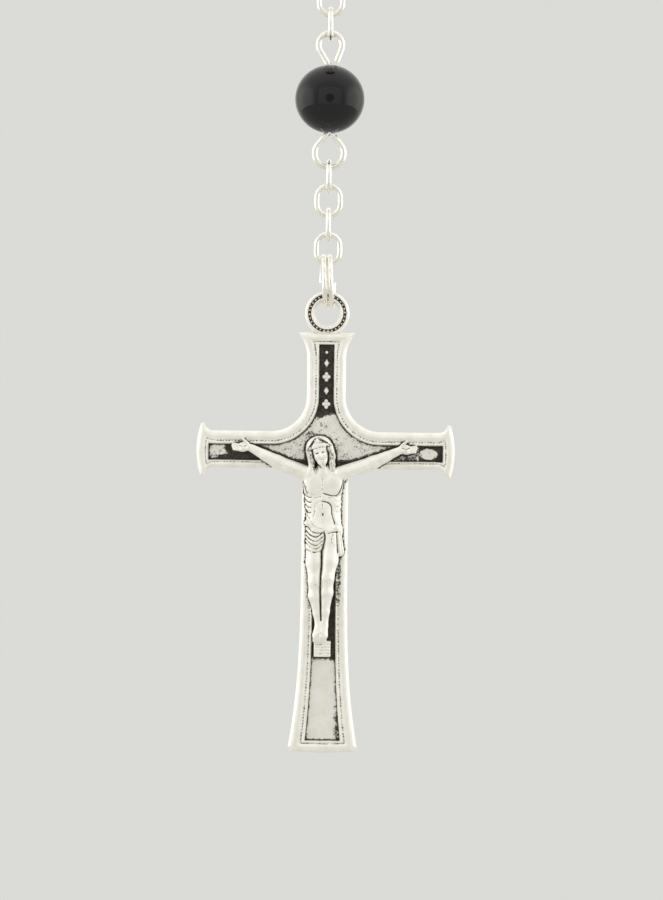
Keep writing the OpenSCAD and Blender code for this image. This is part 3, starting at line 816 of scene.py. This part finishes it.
def sculptHead(clay):
    middle = np.array(figure["headMiddle"])
    tilt = math.radians(figure["headTilt"])
    right, up = np.array([math.cos(tilt), 0, math.sin(tilt)]), np.array([-math.sin(tilt), 0, math.cos(tilt)])

    def at(u, v, w=0.0, *radius):
        # a point of the head: to its side, up along it and out of it
        return (*(middle + right * u + up * v - np.array([0, w, 0])), *radius)

    def flat(points):
        return [tuple(np.array(at(u, v))[[0, 2]]) for u, v in points]

    turn = figure["headTilt"]
    # the mass of the hair, then the locks on the shoulders
    clay.lump(at(0, 0.7, 0.0), (1.48, 0.95, 1.28), turn)
    clay.limb(at(-1.08, 0.5, 0.0, 0.48), at(-1.15, -0.8, 0.0, 0.44), soft=0.12)
    clay.limb(at(-1.12, -0.8, 0.0, 0.4), (-1.75, -2.3, -18.35, 0.3), soft=0.12)
    clay.limb(at(1.1, 0.5, 0.0, 0.5), at(1.18, -0.7, 0.0, 0.46), soft=0.12)
    clay.limb(at(1.12, -0.7, 0.0, 0.42), (0.95, -2.35, -18.15, 0.34), soft=0.12)
    clay.limb((-0.4, -2.0, -17.1, 0.55), (-0.25, -1.95, -18.2, 0.68))
    # the face: an oval, a straight nose, a brow over level eyes, cheeks, a closed mouth
    clay.lump(at(0, -0.2, 0.35), (0.8, 0.62, 1.12), turn, soft=0.1)
    clay.lump(at(-0.4, -0.42, 0.78), (0.26, 0.16, 0.24), turn, soft=0.12)
    clay.lump(at(0.4, -0.42, 0.78), (0.26, 0.16, 0.24), turn, soft=0.12)
    clay.limb(at(0, 0.14, 0.88, 0.1), at(0, -0.42, 1.05, 0.15), soft=0.08)
    clay.limb(at(-0.52, 0.24, 0.74, 0.11), at(-0.14, 0.2, 0.9, 0.09), soft=0.07)
    clay.limb(at(0.52, 0.24, 0.74, 0.11), at(0.14, 0.2, 0.9, 0.09), soft=0.07)
    for side in (-1, 1):
        clay.line(flat([(side * 0.2, 0.03), (side * 0.46, 0.03)]), 0.1, 0.13, 0.85)
        clay.lump(at(side * 0.34, 0.02, 0.72), (0.15, 0.1, 0.085), turn, soft=0.03)
        clay.line(flat([(side * 0.13, -0.5), (side * 0.2, -0.42)]), 0.05, 0.07, 0.5)
    clay.line(flat([(-0.24, -0.76), (-0.1, -0.73), (0, -0.75), (0.1, -0.73), (0.24, -0.76)]), 0.06, 0.1, 0.8)
    clay.limb(at(-0.12, -0.85, 0.9, 0.07), at(0.12, -0.85, 0.9, 0.07), soft=0.06)
    # the beard round the chin, parted below
    clay.limb(at(-0.7, -0.35, 0.4, 0.17), at(-0.42, -1.15, 0.5, 0.24), soft=0.1)
    clay.limb(at(0.7, -0.35, 0.4, 0.17), at(0.42, -1.15, 0.5, 0.24), soft=0.1)
    clay.limb(at(-0.3, -1.12, 0.62, 0.26), at(-0.14, -1.62, 0.45, 0.2), soft=0.1)
    clay.limb(at(0.3, -1.12, 0.62, 0.26), at(0.14, -1.62, 0.45, 0.2), soft=0.1)
    for k in range(-3, 4):
        strand = [(0.15 * k, -1.0 - 0.02 * abs(k)), (0.12 * k + 0.03, -1.3), (0.08 * k, -1.68)]
        clay.line(flat(strand), 0.045, 0.07, 0.45)
    # wavy hair from the parting down both sides
    for side in (-1, 1):
        for k in range(5):
            base = 0.12 + 0.24 * k
            points = [(side * (0.06 + 0.04 * k), 1.85 - 0.1 * k), (side * (0.5 + 0.2 * k), 1.5 - 0.2 * k),
                      (side * (0.84 + 0.13 * k), 0.75 - 0.1 * k), (side * (0.78 + 0.13 * k), 0.1),
                      (side * (0.88 + 0.13 * k), -0.5), (side * (0.8 + 0.12 * k), -1.1)]
            clay.line(curve(flat(points)), 0.055, 0.1, 0.7 + 0.12 * (k % 2) + 0.02 * base)
    for x, z, way in ((-1.15, -16.9, -1), (0.95, -16.7, 1)):
        for k in range(3):
            points = [(x + 0.2 * k - 0.2, z), (x + 0.2 * k - 0.28, z - 0.5),
                      (x + 0.2 * k - 0.14 - 0.05 * way, z - 0.95), (x + 0.16 * k - 0.2 - 0.12 * way, z - 1.35)]
            clay.line(curve(points), 0.05, 0.1, 0.85)
    # a plain twisted band round the brow
    for k in range(9):
        u = -1.08 + 0.27 * k
        v, w = 0.86 - 0.16 * (u / 1.1) ** 2, 0.86 - 0.4 * u * u
        clay.limb(at(u - 0.1, v - 0.12, w, 0.13), at(u + 0.1, v + 0.14, w, 0.13), soft=0.04)
    clay.line(curve(flat([(-1.15, 0.5), (-0.5, 0.6), (0, 0.62), (0.5, 0.6), (1.15, 0.5)])), 0.06, 0.1, 0.8)
    clay.line(curve(flat([(-1.1, 0.98), (-0.5, 1.12), (0, 1.16), (0.5, 1.12), (1.1, 0.98)])), 0.06, 0.1, 0.7)
    # dark hollows between the face and the hair
    clay.line(curve(flat([(-0.82, 0.45), (-0.86, -0.3), (-0.66, -1.0), (-0.3, -1.6)])), 0.09, 0.2, 1.0)
    clay.line(curve(flat([(0.82, 0.45), (0.86, -0.3), (0.68, -1.0), (0.34, -1.6)])), 0.09, 0.2, 1.0)


def sculptRest(clay):
    # the small ledge under the feet
    cuts, (x, y, z) = clay.near((-1.6, -3.0, -39.7), (1.4, 0, -36.9))
    past = [np.abs(x + 0.12) - 0.85, np.abs(y + 1.2) - 0.85, np.abs(z + 38.25) - 0.8]
    outside = np.sqrt(sum(np.maximum(one, 0) ** 2 for one in past))
    inside = np.minimum(np.maximum(np.maximum(*past[:2]), past[2]), 0)
    clay.melt(cuts, outside + inside - 0.1, 0.08)
    for z in (-37.75, -38.1, -38.45, -38.8):
        clay.line([(-0.95, z), (0.72, z)], 0.07, 0.1, 0.6)


def blurred(block, reach, times=2):
    # the mean of each cell's surroundings
    block = block.astype(np.float32)
    for _ in range(times):
        for axis in range(block.ndim):
            pad = [(reach + 1, reach) if i == axis else (0, 0) for i in range(block.ndim)]
            total = np.cumsum(np.pad(block, pad, mode="edge"), axis=axis, dtype=np.float64)
            count = block.shape[axis]
            upper = np.take(total, np.arange(2 * reach + 1, 2 * reach + 1 + count), axis=axis)
            block = ((upper - np.take(total, np.arange(count), axis=axis)) / (2 * reach + 1)).astype(np.float32)
    return block


def sampled(block, low, step, points):
    # the block's value at points, from the nearest cells
    spots = (points - low) / step
    base = np.clip(np.floor(spots).astype(int), 0, np.array(block.shape) - 2)
    rest = np.clip(spots - base, 0, 1)
    value = 0
    for corner in np.ndindex(*(2,) * block.ndim):
        share = np.prod(np.where(corner, rest, 1 - rest), axis=1)
        value = value + share * block[tuple((base + corner).T)]
    return value


# the sunk panel's edges, in millimetres from the middle of the bail
panel = {"top": -3.6, "foot": -48.7, "neck": 0.8, "neckEnds": -14.8, "waist": 1.28, "spread": 0.67, "taper": -28,
         "taperHigh": 20.5, "arm": 13.35, "armTop": -15.05, "armMiddle": -15.7, "armLow": -16.8,
         "corner": (6.22, -9.5), "cornerReach": 5.42, "cornerFlat": 0.977}


def panelMask(x, z):
    # true over the panel: the upright, the arms and the rounded corners between them
    p = panel
    foot = np.clip((p["taper"] - z) / p["taperHigh"], 0, 1) ** 3
    half = np.where(z > p["neckEnds"], p["neck"], p["waist"] + p["spread"] * foot)
    upright = (np.abs(x) < half) & (z < p["top"]) & (z > p["foot"])
    arms = (np.abs(x) < p["arm"]) & (z < p["armTop"]) & (z > p["armLow"])
    cornerX, cornerZ = p["corner"]
    beyond = np.hypot(np.abs(x) - cornerX, (z - cornerZ) * p["cornerFlat"]) > p["cornerReach"]
    corners = (np.abs(x) < cornerX) & beyond & (z < cornerZ) & (z > p["armMiddle"])
    return upright | arms | corners


def makeFigure():
    clay = Clay(figure["low"], figure["high"], figure["step"])
    sculptBody(clay)
    sculptHands(clay)
    sculptCloth(clay)
    sculptHead(clay)
    sculptRest(clay)
    clay.field[:, [0, -1]] = np.maximum(clay.field[:, [0, -1]], 0.2)  # closed at the front and the back
    grid = openvdb.FloatGrid(1.0)
    grid.copyFromArray(clay.field.astype(np.float32))
    points, quads = grid.convertToQuads(isovalue=0.0)[:2]
    points = points * clay.step + clay.low
    data = bpy.data.meshes.new("figure")
    data.from_pydata(points.tolist(), [], quads[:, ::-1].tolist())
    piece = bpy.data.objects.new("figure", data)
    bpy.context.scene.collection.objects.link(piece)
    x, z = np.meshgrid(clay.axes[0], clay.axes[2], indexing="ij")
    # oxide lies where metal surrounds the surface, and in the graver's lines
    ground = np.where(panelMask(x, z), figure["panelFloor"], figure["rimFront"])
    filled = (clay.field < 0) | (clay.axes[1][None, :, None] > ground[:, None, :])
    hollow = sampled(blurred(filled, 3), clay.low, clay.step, points)
    ink = sampled(clay.ink, clay.low[[0, 2]], clay.step, points[:, [0, 2]])
    front = riseTo(0.0, 0.25, -1.5 - points[:, 1]) * 0.35 + 0.65
    oxideAndShade = np.clip(np.maximum((hollow - 0.62) * 3.2, ink * front), 0, 1)
    setOxideAndShade(piece, oxideAndShade)
    piece.data.transform(Matrix.Translation(bailCentre))
    settle(piece, "figure", 180, merge=False)
    standIn(piece, "corpus", oldSilver)
    # the figure's silhouette, blurred narrow and wide, paints its shadow on the rim and the panel floor
    covered = (clay.field < 0).any(axis=1)
    print("figure triangles:", 2 * len(quads))
    return clay, blurred(covered, 4), blurred(covered, 6)


clay, shadow, wideShadow = makeFigure()
print("stage: figure sculpted")

cross = {"shaftTop": -2.2, "topHalf": 3.26, "topFlare": -5.2, "upperHalf": 2.22, "lowerHalf": 2.65, "crook": 4.0,
         "crookAt": -9.5, "armHigh": 4.2, "armMiddle": -15.7, "span": 14.75,
         "capHalf": 3.06, "capBulge": 0.5, "capFlare": 1.1, "capWidth": 0.6, "taper": -28.0, "footHalf": 3.94,
         "footLip": 0.7, "footBow": 0.2, "foot": -50.2, "rim": 1.42, "panelFoot": 1.95,
         "floor": -0.65, "grain": 0.0875, "bead": 0.055, "neckBall": (2.0, 0.78, 0.42), "neckAt": -2.3}

# the moulding from the back edge round to the panel: share of the way in, depth, dirt and beading
moulding = [(0.1, 1.25, 0.1, 0), (0.03, 1.21, 0.1, 0), (0, 1.1, 0.05, 0), (0, -0.5, 0.05, 0), (0.02, -0.76, 0, 0),
            (0.07, -0.97, 0, 0), (0.15, -1.1, 0, 0), (0.27, -1.19, 0, 0), (0.4, -1.23, 0, 0),
            (0.54, -1.21, 0.03, 0), (0.65, -1.14, 0.16, 0), (0.7, -1.08, 0.66, 0.5), (0.735, -1.07, 0.6, 1),
            (0.77, -1.1, 0.66, 0.5), (0.8, -1.17, 0.12, 0), (0.85, -1.2, 0, 0), (0.9, -1.2, 0, 0),
            (0.94, -1.14, 0.12, 0), (0.975, -1.0, 0.6, 0), (1.0, -0.8, 1, 0), (1.0, -0.5, 1, 0)]


def along(a, b):
    return lambda t: np.outer(1 - t, a) + np.outer(t, b)


def bend(centre, radius, start, end, tall=1.0):
    # part of a circle, or of an oval that is taller than it is wide
    return lambda t: np.stack([centre[0] + radius * np.cos(np.radians(start + (end - start) * t)),
                               centre[1] + radius * tall * np.sin(np.radians(start + (end - start) * t))], axis=1)


def narrowing(w0, w1, z0, z1):
    return lambda t: np.stack([w0 + (w1 - w0) * t ** 3, z0 + (z1 - z0) * t], axis=1)


def crossLines():
    # the outline and the panel's edge, point for point, clockwise from the middle of the top
    c = cross
    rise, out = c["shaftTop"] - c["topFlare"], c["topHalf"] - c["upperHalf"]
    flareRadius = (out ** 2 + rise ** 2) / (2 * out)
    flareTurn = math.degrees(math.asin(rise / flareRadius))
    top = c["crookAt"] - c["crook"]
    low = top - c["armHigh"]
    tipX = c["span"] - c["capBulge"] - c["capWidth"] / 2
    tipTop, tipLow = c["armMiddle"] + c["capHalf"], c["armMiddle"] - c["capHalf"]
    lifts = [math.acos(1 - step / c["capFlare"]) for step in (tipTop - top, low - tipLow)]
    starts = [tipX - c["capFlare"] * math.sin(lift) for lift in lifts]
    liftTop, liftLow = [math.degrees(lift) for lift in lifts]
    capRadius = (c["capHalf"] ** 2 + c["capBulge"] ** 2) / (2 * c["capBulge"])
    capTurn = math.degrees(math.asin(c["capHalf"] / capRadius))
    rim, panelBase = c["rim"], panel["foot"]
    crook = (c["upperHalf"] + c["crook"], c["crookAt"])
    armTop, armLow = panel["armTop"], panel["armLow"]
    tall = (c["crookAt"] - armTop) / (c["crook"] + rim)
    panelTop = c["shaftTop"] - rim
    neck, waist, end = c["upperHalf"] - rim, c["lowerHalf"] - rim, c["span"] - rim
    tip = min(starts) - 0.3
    lip = (c["footHalf"], c["foot"] + c["footLip"])
    bow = (c["footHalf"] - c["footLip"] / 2, c["foot"] + c["footBow"])
    pairs = [
        (along((0, c["shaftTop"]), (c["topHalf"], c["shaftTop"])), along((0, panelTop), (neck, panelTop))),
        (bend((c["upperHalf"] + flareRadius, c["topFlare"]), flareRadius, 180 - flareTurn, 180),
         along((neck, panelTop), (neck, c["topFlare"] - 0.4))),
        (along((c["upperHalf"], c["topFlare"]), (c["upperHalf"], c["crookAt"])),
         along((neck, c["topFlare"] - 0.4), (neck, c["crookAt"]))),
        (bend(crook, c["crook"], 180, 270), bend(crook, c["crook"] + rim, 180, 270, tall)),
        (along((crook[0], top), (starts[0], top)), along((crook[0], armTop), (tip, armTop))),
        (bend((starts[0], top + c["capFlare"]), c["capFlare"], 270, 270 + liftTop),
         along((tip, armTop), (end - 0.05, armTop))),
        (along((tipX, tipTop), (c["span"] - c["capBulge"], tipTop)), along((end - 0.05, armTop), (end, armTop))),
        (bend((c["span"] - capRadius, c["armMiddle"]), capRadius, capTurn, -capTurn),
         along((end, armTop), (end, armLow))),
        (along((c["span"] - c["capBulge"], tipLow), (tipX, tipLow)),
         along((end, armLow), (end - 0.05, armLow))),
        (bend((starts[1], low - c["capFlare"]), c["capFlare"], 90 - liftLow, 90),
         along((end - 0.05, armLow), (tip, armLow))),
        (along((starts[1], low), (c["lowerHalf"], low)), along((tip, armLow), (waist, armLow))),
        (along((c["lowerHalf"], low), (c["lowerHalf"], c["taper"])), along((waist, armLow), (waist, c["taper"]))),
        (narrowing(c["lowerHalf"], c["footHalf"], c["taper"], lip[1]),
         narrowing(waist, c["panelFoot"], c["taper"], panelBase)),
        (along(lip, bow), along((c["panelFoot"], panelBase), (c["panelFoot"] - 0.03, panelBase))),
        (along(bow, (0, c["foot"])), along((c["panelFoot"] - 0.03, panelBase), (0, panelBase)))]
    outer, inner = [], []
    for outerWay, innerWay in pairs:
        fine = np.linspace(0, 1, 40)
        lengths = [np.linalg.norm(np.diff(way(fine), axis=0), axis=1).sum() for way in (outerWay, innerWay)]
        t = np.arange(0, 1, 1 / max(2, round(sum(lengths) / 2 / c["grain"])))
        outer.append(outerWay(t))
        inner.append(innerWay(t))
    halves = [np.vstack([*outer, [[0, c["foot"]]]]), np.vstack([*inner, [[0, panelBase]]])]
    return [np.vstack([half, half[-2:0:-1] * (-1, 1)]) for half in halves]


def frontRow(flat, depth):
    # points (x, z) laid at a depth, in millimetres from the bail
    return np.stack([flat[:, 0], np.broadcast_to(depth, len(flat)), flat[:, 1]], axis=1)


def makeRim():
    outer, inner = crossLines()
    beads = np.array([0, 0.7, 1, 0.7])[np.arange(len(outer)) % 4]
    rows = [frontRow(outer + (inner - outer) * share, depth - cross["bead"] * beading * beads)
            for share, depth, _, beading in moulding]
    piece = drawn(rows)
    points = pointsOf(piece)
    line, order = drawnAs(piece, "line"), drawnAs(piece, "order")
    dirt = np.array([one[2] for one in moulding])[line]
    beading = np.array([one[3] for one in moulding])[line]
    dirt = dirt * (1 - 0.55 * beading * beads[order])
    near = sampled(shadow, clay.low[[0, 2]], clay.step, points[:, [0, 2]])
    inside = (points[:, 0] > clay.axes[0][0]) & (points[:, 0] < clay.axes[0][-1])
    # painted shadow of the figure, painted shade in a strip above its arms, and dark oxide speckled beside the
    # legs
    near = np.where(inside & (points[:, 1] < -0.9) & (points[:, 2] > -40), near, 0)
    # painted shade: the rim strip above the arms is darkened like the shadow along their upper edge
    armShadeStrip = (np.abs(points[:, 0]) < 4.4) & (points[:, 2] < -16.2) & (points[:, 2] > -17.5)
    legSide = 0.55 * riseTo(-27.5, -29, points[:, 2]) * riseTo(-36, -32, points[:, 2])
    legSide = legSide * riseTo(2.1, 1.8, np.abs(points[:, 0])) * (points[:, 1] < -0.9)
    setOxideAndShade(piece, np.maximum.reduce([dirt, np.clip(near * 1.7, 0, 0.85), 0.95 * armShadeStrip, legSide]))
    return piece


plate = {"cell": 0.13, "width": 27.6, "top": -3.2, "foot": -48.9, "thick": 0.12, "tuck": 0.2}


def plateOxideAndShade(x, z):
    # dark oxide in the sunk panel: the top, round the hands, beside the legs and along the walls; and painted
    # shade: the figure's shadow round it and a patch above the head
    step = clay.step
    xs, zs = np.arange(-14.2, 14.2, step), np.arange(-49.5, -2.6, step)
    mask = panelMask(xs[:, None], zs[None, :])
    spots = np.stack([x, z], axis=1)
    wall = np.clip((1 - sampled(blurred(mask, 3), np.array([xs[0], zs[0]]), step, spots)) * 1.7, 0, 1)
    # painted shadow of the figure on the panel floor
    near = np.clip(sampled(wideShadow, clay.low[[0, 2]], clay.step, spots) * 2.3, 0, 1)
    near = np.where((np.abs(x) < 10.8) & (z > -39.8), near, 0)
    wave = 0.35 * np.sin(2.1 * x + 1.3 * z) + 0.25 * np.sin(4.3 * z - 2.7 * x)
    topDark = riseTo(-12.6, -11.0, z + 0.5 * wave)
    left = riseTo(-11.9, -11.0, x + 0.5 * wave) * (1 - riseTo(-8.4, -6.8, x))
    left = left * (1 - riseTo(-9.4, -8.6, x) * (z > -15.6))
    wedge = riseTo(-13.0, -12.0, x) * (1 - riseTo(-8.2, -7.0, x)) * riseTo(-15.9, -16.4, z)
    right = 0.62 * riseTo(6.0, 7.2, x + wave) * (1 - riseTo(10.5, 11.0, x + 0.3 * wave))
    patch = 1 - riseTo(0.75, 1.2, np.hypot((x - 11.75) / 1.05, (z + 15.95) / 0.62))
    end = riseTo(10.3, 10.9, x) * (1 - patch)
    legs = riseTo(-40.1, -38.9, z + 0.4 * wave) * (1 - riseTo(-30.5, -27.5, z))
    crownShade = 0.62 * np.exp(-((x + 1.7) / 0.8) ** 2 - ((z + 13.9) / 0.8) ** 2)
    foot = 0.16 + 0.5 * riseTo(1.0, 1.75, x - 0.2 * wave) + 0.25 * riseTo(1.35, 1.8, -x)
    base = np.where(z < -39.4, foot, 0.34 + 0.1 * wave)
    zones = [wall, near, topDark, left, wedge, right, end, legs, crownShade, base]
    return np.clip(np.maximum.reduce(zones), 0, 1)


def makePlate():
    across, down = int(plate["width"] / plate["cell"]), int((plate["top"] - plate["foot"]) / plate["cell"])
    piece = added(bpy.ops.mesh.primitive_grid_add, x_subdivisions=across, y_subdivisions=down, size=1)
    flat = pointsOf(piece)
    x, z = flat[:, 0] * plate["width"], (flat[:, 1] + 0.5) * (plate["top"] - plate["foot"]) + plate["foot"]
    piece.data.vertices.foreach_set("co", np.stack([x, np.full(len(x), cross["floor"]), z], axis=1).ravel())
    # the plate keeps what lies under the panel and a little beyond it, tucked into the rim
    wide = np.zeros(len(x), bool)
    for dx in (-plate["tuck"], 0, plate["tuck"]):
        for dz in (-plate["tuck"], 0, plate["tuck"]):
            wide |= panelMask(x + dx, z + dz)
    startEditing(piece)
    mesh = bmesh.from_edit_mesh(piece.data)
    for vert, keep in zip(mesh.verts, wide):
        vert.select_set(not keep)
    mesh.select_flush_mode()
    bpy.ops.mesh.delete(type="VERT")
    bpy.ops.mesh.select_all(action="SELECT")
    bpy.ops.mesh.extrude_region_move(TRANSFORM_OT_translate={"value": (0, plate["thick"], 0)})
    bpy.ops.object.mode_set(mode="OBJECT")
    points = pointsOf(piece)
    setOxideAndShade(piece, plateOxideAndShade(points[:, 0], points[:, 2]))
    return piece


# the bail's section from its hole outwards: radius, depth and dirt
bail = {"around": 168, "twist": 6, "bump": 0.16, "ropeDirt": 0.75, "rope": (1.9, 2.1),
        "section": [(1.4, 0, 0.2), (1.49, 0.42, 0.15), (1.54, 0.64, 0), (1.64, 0.75, 0), (1.74, 0.77, 0),
                    (1.82, 0.71, 0.3), (1.88, 0.58, 0.9), (1.97, 0.6, 0.75), (2.06, 0.6, 0.75), (2.15, 0.58, 0.9),
                    (2.21, 0.7, 0.2), (2.31, 0.78, 0), (2.43, 0.74, 0), (2.52, 0.6, 0), (2.55, 0.4, 0)]}


def makeBail():
    front = [(r, -y, dirt) for r, y, dirt in bail["section"]]
    back = [(r, y, dirt) for r, y, dirt in bail["section"][:0:-1]]
    ring = front + back + front[:1]
    turns = np.arange(bail["around"]) * math.tau / bail["around"]
    rope = np.maximum(0, np.sin(turns * bail["around"] / bail["twist"]))
    rows = []
    for radius, depth, _ in ring:
        lift = bail["bump"] * rope * (bail["rope"][0] < radius < bail["rope"][1]) * np.sign(depth)
        rows.append(np.stack([radius * np.cos(turns), depth + lift, radius * np.sin(turns)], axis=1))
    piece = drawn(rows, caps=None)
    dirt = np.array([one[2] for one in ring])[drawnAs(piece, "line")]
    setOxideAndShade(piece, dirt * (1 - 0.95 * rope[drawnAs(piece, "order")] * (dirt == bail["ropeDirt"])))
    return piece


ornaments = {"lozenges": [-5.7, -8.85], "flowers": [-7.25, -10.35], "bud": -4.45, "petal": 0.24, "heart": 0.16,
             "petalsAt": [(0.27, 0.0), (0, 0.33), (-0.27, 0.0), (0, -0.33)]}


def makeOrnaments():
    # plain raised ornaments down the top of the panel: lozenges, four-petalled flowers and a bud
    parts, floor = [], cross["floor"]
    for z in ornaments["lozenges"]:
        lozenge = added(bpy.ops.mesh.primitive_cone_add, vertices=4, radius1=0.56, radius2=0.3, depth=0.42,
                        location=(0, floor - 0.16, z), rotation=(math.pi / 2, 0, 0))
        lozenge.scale = (0.75, 1.15, 1)
        fixed(lozenge, location=False)
        modify(lozenge, "BEVEL", width=0.06, segments=2)
        parts.append(lozenge)
    balls = [(0, floor - 0.08, ornaments["bud"], 0.2)]
    for z in ornaments["flowers"]:
        balls += [(x, floor - 0.1, z + rise, ornaments["petal"]) for x, rise in ornaments["petalsAt"]]
        balls.append((0, floor - 0.28, z, ornaments["heart"]))
    for x, y, z, radius in balls:
        parts.append(added(bpy.ops.mesh.primitive_uv_sphere_add, segments=16, ring_count=10, radius=radius,
                           location=(x, y, z)))
    for part in parts:
        fixed(part)
        setOxideAndShade(part, riseTo(-0.95, -0.7, pointsOf(part)[:, 1]))
    return parts


def makeCross():
    parts = [makeRim(), makePlate(), makeBail(), *makeOrnaments()]
    base = added(bpy.ops.mesh.primitive_uv_sphere_add, segments=32, ring_count=16, radius=1,
                 location=(0, 0, cross["neckAt"]))
    base.scale = cross["neckBall"]
    fixed(base)
    setOxideAndShade(base, 0.55 * riseTo(-2.05, -2.2, pointsOf(base)[:, 2]))
    piece = joined([*parts, base])
    piece.data.transform(Matrix.Translation(bailCentre))
    settle(piece, "cross", 40)
    standIn(piece, "crucifix", oldSilver)


makeCross()
print("stage: cross made")

# the medal's edge from its rim inwards: inset and depth
medal = {"halfWide": 7.0, "halfHigh": 9.0, "around": 368, "bump": 0.16, "petals": 8, "leaves": 5, "ear": 1.25,
         "wire": 0.8, "sunk": 0.25,
         "edge": [(0, 0.0), (0, 0.55), (0.08, 0.74), (0.22, 0.86), (0.42, 0.9), (0.62, 0.86), (0.78, 0.74),
                  (0.88, 0.56), (1.0, 0.5), (1.16, 0.56), (1.34, 0.6), (1.52, 0.56), (1.68, 0.5), (1.85, 0.5)]}


def makeMedal():
    low, high = [np.array(corner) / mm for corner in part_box("centre_medal")]
    earTop = high[2] - medal["wire"] / 2 - medal["ear"]
    middle = np.array([0, 0, low[2] + medal["wire"] / 2 + 2 * medal["ear"] - medal["sunk"] + medal["halfHigh"]])
    turns = np.arange(medal["around"]) * math.tau / medal["around"]
    seeds = np.sin(turns * medal["around"] / 8) ** 2
    rows, dirt = [], []
    ring = [(inset, depth, 1) for inset, depth in medal["edge"][:0:-1]]
    ring += [(inset, depth, -1) for inset, depth in medal["edge"]]
    for inset, depth, way in ring:
        lift = medal["bump"] * seeds * (1.1 < inset < 1.6) * (0.6 if abs(inset - 1.34) > 0.1 else 1)
        rows.append(np.stack([(medal["halfWide"] - inset) * np.cos(turns), way * (depth + lift),
                              (medal["halfHigh"] - inset) * np.sin(turns)], axis=1))
        dirt.append(0.0 if inset < 0.8 else 0.75 if inset < 1.1 or inset > 1.6 else 0.25)
    disc = drawn(rows)
    setOxideAndShade(disc, np.array(dirt)[drawnAs(disc, "line")])
    # on both faces a flower of petals round a heart, between two sprays of leaves
    parts = []
    for way in (-1, 1):
        for k in range(medal["petals"]):
            angle = math.tau * k / medal["petals"]
            parts.append(added(bpy.ops.mesh.primitive_uv_sphere_add, segments=20, ring_count=12, radius=1,
                               location=(1.9 * math.sin(angle), way * 0.48, 1.9 * math.cos(angle)),
                               rotation=(0, angle, 0)))
            parts[-1].scale = (0.62, 0.3, 1.25)
        parts.append(added(bpy.ops.mesh.primitive_uv_sphere_add, segments=24, ring_count=14, radius=0.75,
                           location=(0, way * 0.45, 0)))
        parts[-1].scale = (1, 0.55, 1)
        for k in (-1, 1):
            for j in range(medal["leaves"]):
                parts.append(added(bpy.ops.mesh.primitive_uv_sphere_add, segments=16, ring_count=10, radius=1,
                                   location=(0.98 * k * (4.1 - 0.12 * j * j), way * 0.48, -3.9 + 1.75 * j),
                                   rotation=(0, math.radians(k * (28 + 24 * j)), 0)))
                parts[-1].scale = (0.33, 0.22, 0.85)
    for part in parts:
        fixed(part)
        setOxideAndShade(part, 0.9 * (1 - riseTo(0.5, 0.64, np.abs(pointsOf(part)[:, 1]))))
    # a wire ear at each upper side and one below
    reach = medal["wire"] / 2 + medal["ear"]
    for x, z in ((low[0] + reach, earTop), (high[0] - reach, earTop), (0, low[2] + reach)):
        ear = added(bpy.ops.mesh.primitive_torus_add, major_segments=48, minor_segments=14,
                    major_radius=medal["ear"], minor_radius=medal["wire"] / 2, location=(x, 0, z - middle[2]),
                    rotation=(math.pi / 2, 0, 0))
        fixed(ear)
        setOxideAndShade(ear, np.zeros(len(ear.data.vertices)))
        parts.append(ear)
    parts.insert(0, disc)
    piece = joined(parts)
    piece.data.transform(Matrix.Translation(middle))
    settle(piece, "medal", 40)
    standIn(piece, "centre_medal", oldSilver)


makeMedal()
print("stage: medal made")
